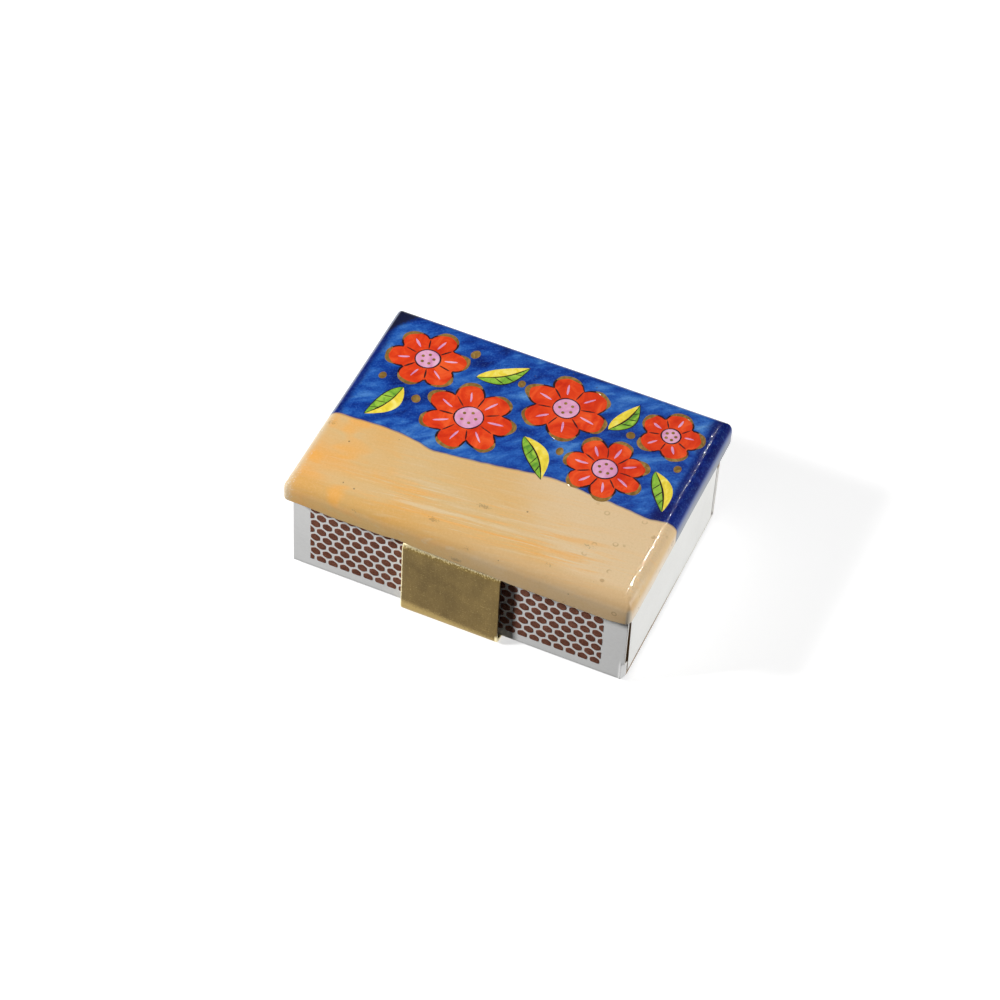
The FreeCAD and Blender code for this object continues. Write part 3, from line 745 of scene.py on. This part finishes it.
def make_board():
    solid = Solid()
    low = BOARD_LOW.z
    section = [(LIP_ROUND + LIP_SHELF, low)]
    section += quarter(low + LIP_ROUND, LIP_ROUND, 270, 4)
    section += quarter(TOP - EDGE_ROUND, EDGE_ROUND, 0, 10)
    section += [(EDGE_ROUND + 0.5, TOP), (EDGE_ROUND + 2.0, TOP)]
    rings = [board_ring(inset, level) for inset, level in section]
    solid.loft(rings, 0, cap_slots=(1, 0))
    solid.build("cover", "holder", [LACQUER, UNDERSIDE], "painted_board", ["cover_board"])


def patch(solid, loop, rise):
    """Closed film of paint on the board's top."""
    middle = Vector((sum(p.x for p in loop), sum(p.y for p in loop))) / len(loop)
    upper = [middle + (p - middle) * PAINT_TAPER for p in loop]
    rings = [
        [(p.x, p.y, TOP - PAINT_SINK) for p in loop],
        [(p.x, p.y, TOP + rise) for p in upper],
    ]
    solid.loft(rings)


def stroke(solid, path, width, rise, closed=False):
    """Brush line along a path, swelling and thinning as it goes."""
    rings = []
    last = len(path) - 1
    for i, point in enumerate(path):
        after = path[(i + 1) % len(path)] if closed else path[min(i + 1, last)]
        before = path[i - 1] if closed else path[max(i - 1, 0)]
        along = (after - before).normalized()
        across = Vector((-along.y, along.x))
        swell = 0.8 + 0.5 * noise.noise(Vector((point.x * 0.5, point.y * 0.5, 3.0)))
        taper = 1.0 if closed else 0.25 + 0.75 * min(1.0, 4 * i / last, 4 * (last - i) / last)
        half = across * width * swell * taper / 2
        sides = ((-1.0, -PAINT_SINK), (-0.8, rise), (0.8, rise), (1.0, -PAINT_SINK))
        rings.append([(*(point + half * s), TOP + level) for s, level in sides])
    solid.loft(rings, closed=closed)


def wavy(loop, amount, seed):
    """The same loop drawn by hand."""
    drawn = []
    for p in loop:
        shift = noise.noise_vector(Vector((p.x * 0.35, p.y * 0.35, seed)))
        drawn.append(p + Vector((shift.x, shift.y)) * amount)
    return drawn


def round_loop(centre, half_x, half_y, count=28, lobes=0, depth=0.0, turn=0.0):
    """Oval, or a blossom of rounded lobes."""
    loop = []
    for i in range(count):
        a = 2 * math.pi * i / count
        lobe = abs(math.cos(lobes * (a - turn) / 2)) ** 0.7 if lobes else 1.0
        size = 1 - depth + depth * lobe
        loop.append(centre + Vector((half_x * math.cos(a), half_y * math.sin(a))) * size)
    return loop


def blossom(layers, centre, radius, petals, turn, seed):
    """Open flower: petals, a pale heart with seeds, and drawn lines."""
    loop = wavy(round_loop(centre, radius, radius * 0.94, 16 * petals, petals, 0.34, turn), 0.35, seed)
    patch(layers["petals"], loop, FILL_RISE)
    stroke(layers["lines"], loop, PETAL_LINE, LINE_RISE, closed=True)
    for i in range(petals):
        first = round((turn / (2 * math.pi) + i / petals) * len(loop))
        tip = [loop[(first + k) % len(loop)] for k in range(-5, 6)]
        stroke(layers["gold"], tip, PETAL_TIP, DOT_RISE)
        notch = turn + math.pi * (2 * i + 1) / petals
        way = Vector((math.cos(notch), math.sin(notch)))
        path = [centre + way * radius * (0.34 + 0.3 * k / 5) for k in range(6)]
        stroke(layers["lines"], wavy(path, 0.2, seed), NOTCH_LINE, LINE_RISE)
        rib = turn + 2 * math.pi * i / petals
        way = Vector((math.cos(rib), math.sin(rib)))
        path = [centre + way * radius * (0.42 + 0.3 * k / 5) for k in range(6)]
        stroke(layers["petal_ribs"], wavy(path, 0.3, seed + 2), PETAL_RIB, LINE_RISE)
    heart = wavy(round_loop(centre, radius * 0.3, radius * 0.3), 0.15, seed + 1)
    patch(layers["hearts"], heart, FILL_RISE + 0.006)
    stroke(layers["lines"], heart, HEART_LINE, LINE_RISE, closed=True)
    for i in range(5):
        a = 2 * math.pi * i / 5 + turn
        seat = centre + Vector((math.cos(a), math.sin(a))) * radius * 0.15
        patch(layers["gold"], round_loop(seat, SEED, SEED, 10), DOT_RISE)


def leaf(layers, base, tip, width, bend):
    """Pointed leaf in two tones with a drawn midrib."""
    axis = tip - base
    side = Vector((-axis.y, axis.x)).normalized()
    steps = 16
    rib, left, right = [], [], []
    for i in range(steps + 1):
        s = i / steps
        middle = base + axis * s + side * bend * math.sin(math.pi * s)
        half = side * width * 0.5 * math.sin(math.pi * s ** 0.85) ** 0.9
        rib.append(middle)
        left.append(middle + half)
        right.append(middle - half)
    patch(layers["leaf_light"], left + rib[-2:0:-1], FILL_RISE)
    patch(layers["leaf_green"], rib + right[-2:0:-1], FILL_RISE)
    stroke(layers["lines"], rib, LEAF_RIB, LINE_RISE)
    stroke(layers["lines"], right, LEAF_EDGE, LINE_RISE)
    for s in (5, 8, 11):
        path = [rib[s].lerp(right[s + 2], k / 3) for k in range(4)]
        stroke(layers["lines"], path, LEAF_VEIN, LINE_RISE)


# Centre, radius, count of petals and turn of each blossom
BLOSSOMS = (
    (Vector((-18.6, 11.4)), 6.2, 6, 0.3),
    (Vector((-8.2, 3.2)), 7.2, 7, 0.1),
    (Vector((4.0, 11.2)), 6.7, 6, 0.8),
    (Vector((13.8, 2.6)), 6.3, 7, 0.5),
    (Vector((20.0, 12.8)), 5.0, 5, 0.2),
)
# Base, tip, width and bend of each leaf
LEAVES = (
    (Vector((-19.4, 4.6)), Vector((-22.4, -2.8)), 3.4, 0.7),
    (Vector((-10.6, 11.2)), Vector((-4.0, 16.4)), 3.2, -0.8),
    (Vector((0.6, 3.4)), Vector((6.2, -3.4)), 3.4, 0.8),
    (Vector((11.2, 10.0)), Vector((13.6, 16.6)), 3.0, -0.6),
    (Vector((20.6, 5.4)), Vector((24.4, -1.6)), 3.0, 0.6),
)
DOT_TRIES = 500
DOT_CLEAR = 2.6


def gold_dots(layers):
    """Small gold touches scattered over the blue, clear of the flowers and of each other."""
    chance = random.Random(7)
    placed = []
    for _ in range(DOT_TRIES):
        spot = Vector((chance.uniform(-23.5, 23.5), chance.uniform(1.5, 16.6)))
        size = chance.uniform(0.62, 0.84)
        turn = chance.uniform(0.0, 3.0)
        clear = all((spot - c).length > r + 0.9 for c, r, _, _ in BLOSSOMS)
        for base, tip, width, _ in LEAVES:
            axis = tip - base
            share = (spot - base).dot(axis) / axis.length_squared
            near = base + axis * min(max(share, 0), 1)
            clear = clear and (spot - near).length > width * 0.5 + 1.1
        clear = clear and all((spot - other).length > DOT_CLEAR for other in placed)
        if clear:
            placed.append(spot)
            loop = round_loop(spot, size, size * 1.2, 14, 2, 0.1, turn)
            patch(layers["gold"], wavy(loop, 0.15, 5.0), FILL_RISE)


def make_decoration():
    finishes = {
        "petals": RED_PAINT,
        "petal_ribs": PINK_PAINT,
        "hearts": PINK_PAINT,
        "leaf_light": YELLOW_PAINT,
        "leaf_green": GREEN_PAINT,
        "gold": GOLD_PAINT,
        "lines": LINE_PAINT,
    }
    layers = {name: Solid() for name in finishes}
    for index, (centre, radius, petals, turn) in enumerate(BLOSSOMS):
        blossom(layers, centre, radius, petals, turn, 10.0 * index)
    for base, tip, width, bend in LEAVES:
        leaf(layers, base, tip, width, bend)
    gold_dots(layers)
    for name, solid in layers.items():
        solid.build("paint_" + name, "holder", [finishes[name]], "painted_board", crease=PAINT_CREASE)


# Brass band and pins

def band_path():
    """Middle line of the strip from seam to seam, as y, z and the normal's y and z."""
    reach = BAND_HIGH.y - BAND_THICK / 2
    low = BAND_LOW.z + BAND_THICK / 2
    high = BAND_HIGH.z - BAND_THICK / 2
    bend = BAND_BEND + BAND_THICK / 2
    front = []

    def run(start, end, normal, spans):
        for i in range(spans + 1):
            front.append((*Vector(start).lerp(Vector(end), i / spans), *normal))

    def turn(z, start):
        for i in range(1, BEND_STEPS):
            a = math.radians(start + 90 * i / BEND_STEPS)
            y = bend - reach + bend * math.cos(a)
            front.append((y, z + bend * math.sin(a), math.cos(a), math.sin(a)))

    run((-BAND_SEAM / 2, high), (bend - reach, high), (0, 1), 6)
    turn(high - bend, 90)
    run((-reach, high - bend), (-reach, low + bend), (-1, 0), 10)
    turn(low + bend, 180)
    run((bend - reach, low), (0, low), (0, -1), 6)
    back = [(-y, z, -normal_y, normal_z) for y, z, normal_y, normal_z in front[-2::-1]]
    return front + back


def make_band():
    solid = Solid()
    middle = (BAND_LOW.x + BAND_HIGH.x) / 2
    half = (BAND_HIGH.x - BAND_LOW.x) / 2
    section = outline(half, BAND_THICK / 2, BAND_EDGE, 3, 14, 1)
    rings = []
    for y, z, normal_y, normal_z in band_path():
        ring = []
        for p in section:
            ragged = BAND_RAGGED * noise.noise(Vector((p.x * 2.0, y * 0.5, z * 0.5)))
            x = p.x * (1 - abs(ragged) / half)
            dent = -BAND_DENT * (0.5 + 0.5 * noise.noise(Vector((x * 0.22, y * 0.3, z * 0.3))))
            if normal_z > 0.5 or normal_z < -0.99:
                dent = 0.0
            depth = p.y + dent
            ring.append((middle + x, y + normal_y * depth, z + normal_z * depth))
        rings.append(ring)
    solid.loft(rings)
    solid.build("band", "holder", [BAND_BRASS], "aged_brass", ["brass_band"])


def make_pins():
    """Four nails through the band's top leg, their low heads just proud of it."""
    solid = Solid()
    head = PIN_HEAD / 2
    shank = PIN_SHANK / 2
    low = PINS_LOW.z
    high = PINS_HIGH.z
    profile = [
        (0.2, low - PIN_DOME),
        (head * 0.6, low - PIN_DOME * 0.8),
        (head * 0.95, low - PIN_DOME * 0.2),
        (head, low + 0.02),
        (shank, low + head - shank),
        (shank, high - PIN_POINT),
        (0.08, high),
    ]
    for x in (PINS_LOW.x + head, PINS_HIGH.x - head):
        for y in (PINS_LOW.y + head, PINS_HIGH.y - head):
            rings = []
            for radius, z in profile:
                loop = round_loop(Vector((x, y)), radius, radius, 24)
                rings.append([(p.x, p.y, z) for p in loop])
            solid.loft(rings)
    solid.build("pins", "holder", [PIN_BRASS], "pin_brass", ["band_pins"])


# Match box

def sleeve_point(x, y, z):
    """A crease at the sleeve's lower front right corner, pushed in beyond it."""
    front = ease(-15.5, -17.6, y)
    crease = ease(CREASE_X - 0.3, CREASE_X, x) * ease(CREASE_X + 0.2, CREASE_X, x) * ease(4.7, 4.2, z)
    kink = CREASE_OUT * ease(CREASE_X, CREASE_X + 0.15, x)
    flap = FLAP_IN * min(max(x - CREASE_X - 0.1, 0.0) / FLAP_LENGTH, 1.0)
    push = (kink + flap) * ease(4.5, 4.0, z)
    return (x, y + front * (push - CREASE_OUT * crease), z)


def make_sleeve():
    solid = Solid()
    half_y = (SLEEVE_HIGH.y - SLEEVE_LOW.y) / 2
    half_z = (SLEEVE_HIGH.z - SLEEVE_LOW.z) / 2
    middle = (SLEEVE_LOW.z + SLEEVE_HIGH.z) / 2
    outer = outline(half_y, half_z, SLEEVE_FOLD, 6, 30, 36)
    inner = outline(half_y - CARD, half_z - CARD, SLEEVE_FOLD - CARD + 0.02, 6, 30, 36)
    last = SLEEVE_HIGH.x
    stations = [-last, -last + CUT_SOFT, -24.0, -16.0, -8.0, 0.0, 8.0, 16.0, 23.0]
    stations += [CREASE_X + step for step in CREASE_STEPS]
    stations += [last - CUT_SOFT, last]

    def ring(x, loop):
        return [sleeve_point(x, p.x, middle + p.y) for p in loop]

    soft_outer = [p.lerp(q, 0.12) for p, q in zip(outer, inner)]
    soft_inner = [q.lerp(p, 0.12) for p, q in zip(outer, inner)]
    skins = [ring(x, soft_outer if abs(x) == last else outer) for x in stations]
    linings = [ring(x, soft_inner if abs(x) == last else inner) for x in stations]
    count = len(outer)
    solid.loft(skins + linings[::-1], closed=True)
    skin_faces = (len(stations) - 1) * count
    solid.slots = [0] * skin_faces + [2] * count + [1] * skin_faces + [2] * count
    low = Vector((SLEEVE_LOW.x + LAP_END, half_y - 2 * CARD, SLEEVE_LOW.z + CARD + LAP_INSET))
    high = Vector((SLEEVE_HIGH.x - LAP_END, half_y - CARD + 0.02, SLEEVE_HIGH.z - CARD - LAP_INSET))
    slab(solid, low, high, slot=1)
    finishes = [WHITE_CARD, LINING, CUT_CARD]
    solid.build("match_sleeve", "matchbox", finishes, "white_card", ["sleeve"])


def clip(loop, axis, limit, sign):
    """Part of a convex loop on one side of a straight cut."""
    kept = []
    for a, b in zip(loop, loop[1:] + loop[:1]):
        da = sign * (a[axis] - limit)
        db = sign * (b[axis] - limit)
        if da >= 0:
            kept.append(a)
        if da * db < 0:
            kept.append(a.lerp(b, da / (da - db)))
    return kept


def striker_dot(x, z):
    """Upright hexagon with softened corners."""
    loop = [Vector(c) for c in ((0, 1), (-1, 0.5), (-1, -0.5), (0, -1), (1, -0.5), (1, 0.5))]
    for cut in (0.14, 0.27):
        softer = []
        for a, b in zip(loop, loop[1:] + loop[:1]):
            softer += [a.lerp(b, cut), a.lerp(b, 1 - cut)]
        loop = softer
    return [Vector((x + p.x * DOT_HALF_X, z + p.y * DOT_HALF_Z)) for p in loop]


def make_striker(name, node, low, high, outward):
    """Printed friction coat: rows of hexagons, every second row half a step over."""
    solid = Solid()
    face = low.y if outward > 0 else high.y
    rows = int((high.z - low.z) / DOT_UP) + 2
    columns = int((high.x - low.x) / DOT_ACROSS) + 3
    for row in range(rows):
        for column in range(-1, columns):
            x = low.x + DOT_FIRST_X + DOT_ACROSS * (column - 0.5 * (row % 2))
            z = low.z + DOT_FIRST_Z + DOT_UP * row
            loop = striker_dot(x, z)
            for axis, limit, sign in ((0, low.x, 1), (0, high.x, -1), (1, low.z, 1), (1, high.z, -1)):
                loop = clip(loop, axis, limit, sign) if loop else loop
            if len(loop) < 3:
                continue
            middle = sum(loop, Vector((0, 0))) / len(loop)
            upper = [middle.lerp(p, DOT_TAPER) for p in loop]
            rings = [
                [(p.x, face - outward * DOT_SINK, p.y) for p in loop],
                [(p.x, face + outward * DOT_THICK, p.y) for p in upper],
            ]
            solid.loft(rings)
    solid.build(name, "matchbox", [STRIKING], "striking_coat", [node])


def tray_point(x, y, z):
    """The front wall leans in towards its lower right corner."""
    lean = TRAY_LEAN * ease(22.5, 26.3, x) * ease(13.0, 2.0, z) * ease(-13.0, -15.5, y)
    return (x, y + lean, z)


def make_tray():
    solid = Solid()
    half_x = (TRAY_HIGH.x - TRAY_LOW.x) / 2
    half_y = (TRAY_HIGH.y - TRAY_LOW.y) / 2
    middle = (TRAY_LOW + TRAY_HIGH) / 2
    low = TRAY_LOW.z
    high = TRAY_HIGH.z
    section = [(TRAY_FOLD + 1.0, low)]
    section += quarter(low + TRAY_FOLD, TRAY_FOLD, 270, 5)
    section += [(0, high - RIM_SOFT), (RIM_SOFT, high), (CARD - RIM_SOFT, high), (CARD, high - RIM_SOFT)]
    floor = low + CARD
    section += [(CARD, floor + INNER_FOLD), (CARD + INNER_FOLD, floor), (CARD + 1.5, floor)]
    rings = []
    for inset, level in section:
        corner = max(TRAY_FOLD - inset, 0.12)
        ring = outline(half_x - inset, half_y - inset, corner, 5, 14, 10)
        rings.append([(middle.x + p.x, middle.y + p.y, level) for p in ring])
    solid.loft(rings)
    # The long outer walls and the base show the plain back of the card
    for index, face in enumerate(solid.faces):
        reach = min(abs(solid.points[i][1] - middle.y) for i in face)
        height = max(solid.points[i][2] for i in face)
        if reach > half_y - TRAY_FOLD * 0.7 or height < low + 0.05:
            solid.slots[index] = 1
    for side_x in (-1, 1):
        for side_y in (-1, 1):
            near_y = middle.y + side_y * (half_y - CARD)
            far_y = near_y - side_y * TAB_LENGTH
            near = Vector((middle.x + side_x * (half_x - 2 * CARD), near_y, low + CARD))
            far = Vector((middle.x + side_x * (half_x - CARD), far_y, high - TAB_DROP))
            corners = list(zip(near, far))
            slab(solid, Vector([min(c) for c in corners]), Vector([max(c) for c in corners]))
    solid.points = [tray_point(*point) for point in solid.points]
    solid.build("match_tray", "tray", [TRAY_CARD, BROWN_CARD], "tray_card", ["tray"])


def make_match(name, chance):
    """Square stick with a dipped head, each a little different."""
    low, high = node_box(name)
    y = (low.y + high.y) / 2
    z = (low.z + high.z) / 2
    solid = Solid()
    half = STICK / 2 - 0.02
    sway = chance.uniform(-STICK_SWAY, STICK_SWAY)
    root = high.x - HEAD_LENGTH
    rings = []
    for t in STICK_STATIONS:
        size = half - (0.06 if t == 0 else 0)
        ring = outline(size, size, STICK_EDGE, 2, 1, 1)
        x = low.x + (root + 0.6 - low.x) * t
        bow = sway * math.sin(math.pi * t)
        rings.append([(x, y + p.x + bow, z + p.y) for p in ring])
    solid.loft(rings)
    largest = (high.y - low.y) / 2 - 0.03
    rings = []
    plump = chance.uniform(0.94, 1.0)
    for t, size in HEAD_SECTIONS:
        radius = largest * size * plump
        loop = round_loop(Vector((y, z)), radius, radius, 14)
        x = root + HEAD_LENGTH * t
        ring = []
        for p in loop:
            lump = 1 - HEAD_LUMPS * (0.5 + 0.5 * noise.noise(Vector((p.x * 1.2, p.y * 1.2, x * 0.8))))
            ring.append((x, y + (p.x - y) * lump, z + (p.y - z) * lump))
        rings.append(ring)
    solid.loft(rings, 1)
    solid.build(name + "_stick", "tray", [WOOD, HEAD], "match_wood", [name])


# Floor, light and camera

FLOOR_SIZE = 12.0
FLOOR_ALBEDO = 0.06
FLOOR_SEEN = 0.6
FLOOR_LIFT = 0.66
AMBIENT = 0.04
FOCUS = Vector((0, 0, 10)) * MM
FROM_LEFT = (-1.45, -1.0, 1.25)
FROM_BACK = (0.06, 0.62, 0.782)
FROM_RIGHT = (0.9, 0.3, 0.3)


def grey(level):
    """Neutral linear colour."""
    return (level, level, level, 1.0)


def floor_finish():
    """White to look at, straight or in gloss and glass, and darker where it only throws back light."""
    f = Finish("white_floor", {})
    f.tree.nodes.remove(f.shader)
    shown = f.node("ShaderNodeAddShader")
    f.put(shown.inputs[0], f.node("ShaderNodeBsdfDiffuse", Color=grey(FLOOR_SEEN)).outputs[0])
    f.put(shown.inputs[1], f.node("ShaderNodeEmission", Strength=FLOOR_LIFT).outputs[0])
    thrown = f.node("ShaderNodeBsdfDiffuse", Color=grey(FLOOR_ALBEDO))
    path = f.node("ShaderNodeLightPath").outputs
    looked_at = f.maths("MAXIMUM", path["Is Camera Ray"], path["Is Glossy Ray"])
    looked_at = f.maths("MAXIMUM", looked_at, path["Is Transmission Ray"])
    choose = f.node("ShaderNodeMixShader", Fac=looked_at)
    f.put(choose.inputs[1], thrown.outputs[0])
    f.put(choose.inputs[2], shown.outputs[0])
    f.put(f.tree.nodes["Material Output"].inputs["Surface"], choose.outputs[0])
    return f.material


def make_floor():
    """Sheet that keeps the object's shadow."""
    mesh = bpy.data.meshes.new("floor")
    half = FLOOR_SIZE / 2
    corners = [(-half, -half, 0), (half, -half, 0), (half, half, 0), (-half, half, 0)]
    mesh.from_pydata(corners, [], [(0, 1, 2, 3)])
    mesh.materials.append(floor_finish())
    floor = bpy.data.objects.new("floor", mesh)
    bpy.context.collection.objects.link(floor)


def make_light(name, direction, distance, width, height, level, gloss_only=False):
    """Soft panel aimed at the object; level 1 shows a white facing sheet as white."""
    data = bpy.data.lights.new(name, "AREA")
    data.shape = "RECTANGLE"
    data.size = width
    data.size_y = height
    data.energy = level * math.pi ** 2 * distance ** 2
    light = bpy.data.objects.new(name, data)
    way = Vector(direction).normalized()
    light.location = FOCUS + way * distance
    light.rotation_mode = "QUATERNION"
    light.rotation_quaternion = (-way).to_track_quat("-Z", "Y")
    light.visible_diffuse = not gloss_only
    bpy.context.collection.objects.link(light)


def make_world():
    world = bpy.data.worlds.new("studio")
    world.use_nodes = True
    background = world.node_tree.nodes["Background"]
    background.inputs["Color"].default_value = grey(1.0)
    background.inputs["Strength"].default_value = AMBIENT
    bpy.context.scene.world = world


CAMERA_EYE = Vector((120.35, -312.85, 385.08)) * MM
CAMERA_AZIMUTH = math.radians(21.237)
CAMERA_ELEVATION = math.radians(48.298)
CAMERA_ROLL = math.radians(3.548)
CAMERA_LENS = 122.4
CAMERA_SENSOR = 36.0
CAMERA_NEAR = 0.01
CAMERA_FAR = 50.0


def make_camera():
    data = bpy.data.cameras.new("camera")
    data.lens = CAMERA_LENS
    data.sensor_width = CAMERA_SENSOR
    data.clip_start = CAMERA_NEAR
    data.clip_end = CAMERA_FAR
    camera = bpy.data.objects.new("camera", data)
    level = math.cos(CAMERA_ELEVATION)
    forward = Vector((
        -math.sin(CAMERA_AZIMUTH) * level,
        math.cos(CAMERA_AZIMUTH) * level,
        -math.sin(CAMERA_ELEVATION),
    ))
    turn = forward.to_track_quat("-Z", "Y").to_matrix().to_4x4()
    camera.matrix_world = Matrix.Translation(CAMERA_EYE) @ turn @ Matrix.Rotation(CAMERA_ROLL, 4, "Z")
    bpy.context.collection.objects.link(camera)
    bpy.context.scene.camera = camera


make_board()
make_decoration()
make_band()
make_pins()
make_sleeve()
make_striker("striker_print_front", "striker_front", FRONT_LOW, FRONT_HIGH, -1)
make_striker("striker_print_back", "striker_back", BACK_LOW, BACK_HIGH, 1)
make_tray()
match_chance = random.Random(3)
for match_name in MATCH_NAMES:
    make_match(match_name, match_chance)
make_floor()
make_world()
make_light("key", FROM_LEFT, distance=0.45, width=0.07, height=0.07, level=1.12)
make_light("back_light", FROM_BACK, distance=0.9, width=0.05, height=0.16, level=0.1)
make_light("back_glint", FROM_BACK, distance=0.89, width=0.05, height=0.16, level=0.7, gloss_only=True)
make_light("right_fill", FROM_RIGHT, distance=0.9, width=0.6, height=0.5, level=0.96)
make_camera()
bpy.context.scene.view_settings.view_transform = "Standard"
